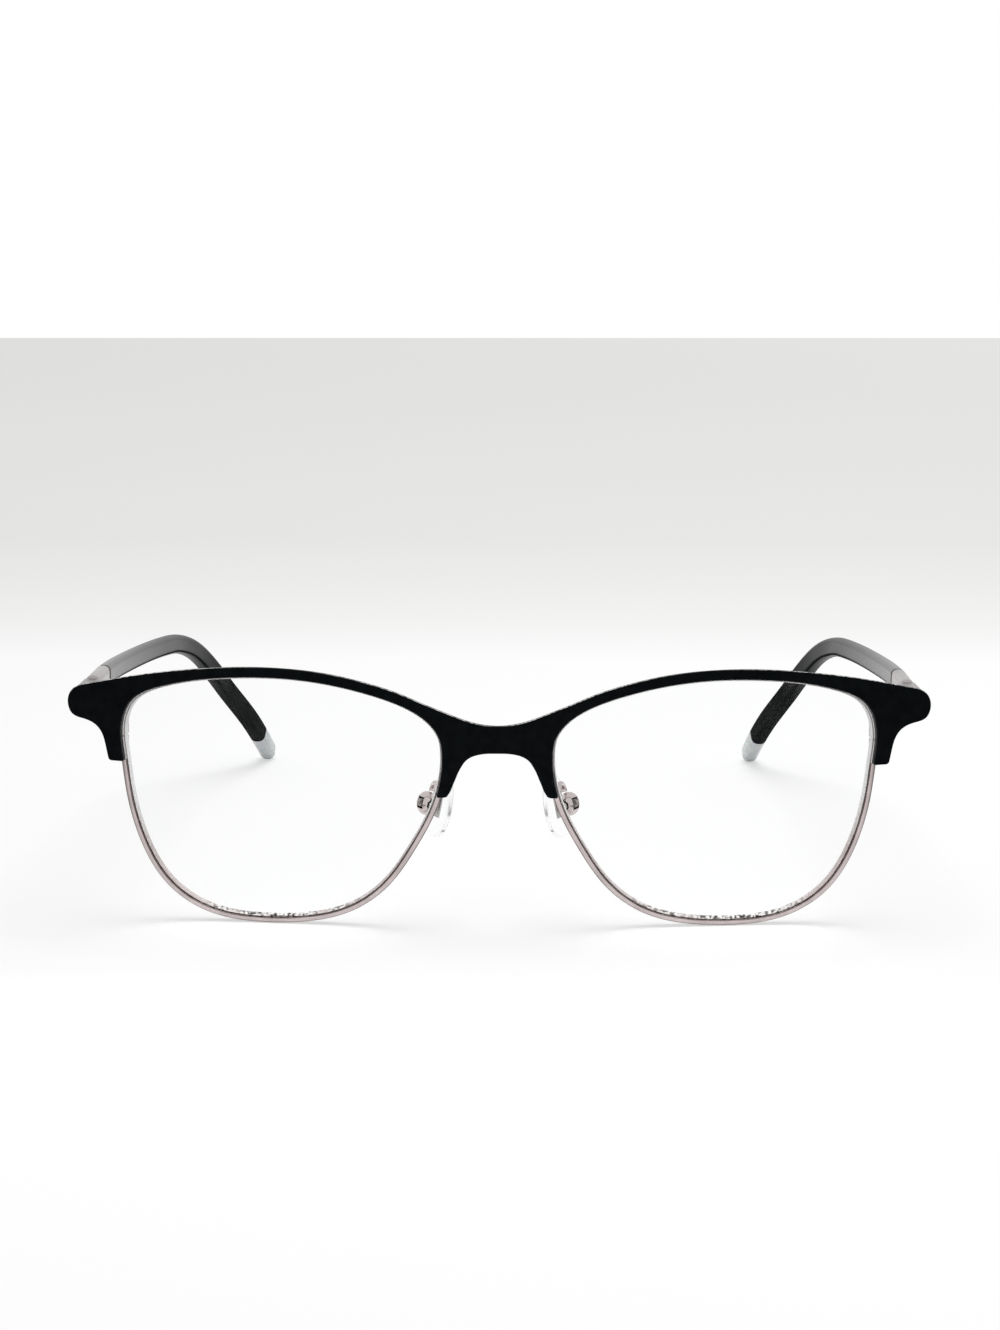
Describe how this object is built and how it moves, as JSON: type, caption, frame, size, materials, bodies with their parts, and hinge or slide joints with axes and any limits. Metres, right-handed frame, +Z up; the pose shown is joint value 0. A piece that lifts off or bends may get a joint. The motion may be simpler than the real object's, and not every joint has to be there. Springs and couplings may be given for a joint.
{
  "type": "eyeglasses",
  "caption": "Cat-eye eyeglasses with a thin black metal brow plate over pinkish wire rims, clear nose pads and folding temples with black sleeves",
  "frame": {"origin": "the middle of the base, on the surface that the rims and the temple tips stand on", "axes": "+X to the wearer's left, +Y from the front back towards the temple tips, +Z up"},
  "size_m": [0.1396, 0.1392, 0.0426],
  "materials": {
    "plate_black": "satin",
    "rim_metal": "polished rose",
    "hinge_steel": "brushed",
    "screw_steel": "polished",
    "lens": "clear coated",
    "pad_clear": "clear silicone",
    "temple_acetate": "polished",
    "tip_acetate": "polished"
  },
  "bodies": {
    "front": {"brow_plate": "plate_black", "left_rim": "rim_metal", "left_lens": "lens", "left_rim_lock_upper": "rim_metal", "left_rim_lock_lower": "rim_metal", "left_lock_screw": "screw_steel", "left_pad_arm": "rim_metal", "left_pad_cup": "rim_metal", "left_pad_screw": "screw_steel", "left_end_piece": "rim_metal", "left_hinge_front_leaf": "hinge_steel", "left_hinge_screw": "screw_steel", "right_rim": "rim_metal", "right_lens": "lens", "right_rim_lock_upper": "rim_metal", "right_rim_lock_lower": "rim_metal", "right_lock_screw": "screw_steel", "right_pad_arm": "rim_metal", "right_pad_cup": "rim_metal", "right_pad_screw": "screw_steel", "right_end_piece": "rim_metal", "right_hinge_front_leaf": "hinge_steel", "right_hinge_screw": "screw_steel"},
    "left_temple": {"left_hinge_rear_leaf": "hinge_steel", "left_temple_core": "rim_metal", "left_temple_sleeve": "temple_acetate", "left_temple_tip": "tip_acetate"},
    "left_pad": {"left_nose_pad": "pad_clear", "left_pad_insert": "screw_steel"},
    "right_temple": {"right_hinge_rear_leaf": "hinge_steel", "right_temple_core": "rim_metal", "right_temple_sleeve": "temple_acetate", "right_temple_tip": "tip_acetate"},
    "right_pad": {"right_nose_pad": "pad_clear", "right_pad_insert": "screw_steel"}
  },
  "joints": [
    {"name": "left_temple_fold", "type": "hinge", "parent": "front", "child": "left_temple", "pos_m": [0.06412, -0.05716, 0.03737], "axis": [0, 0, 1], "range_deg": [0, 82]},
    {"name": "right_temple_fold", "type": "hinge", "parent": "front", "child": "right_temple", "pos_m": [-0.06412, -0.05716, 0.03737], "axis": [0, 0, -1], "range_deg": [0, 74]},
    {"name": "left_pad_rock", "type": "hinge", "parent": "front", "child": "left_pad", "pos_m": [0.01165, -0.0613, 0.0192], "axis": [0.5592, 0.8279, 0.0434], "range_deg": [-8, 8]},
    {"name": "right_pad_rock", "type": "hinge", "parent": "front", "child": "right_pad", "pos_m": [-0.01165, -0.0613, 0.0192], "axis": [-0.5592, 0.8279, 0.0434], "range_deg": [-8, 8]}
  ]
}
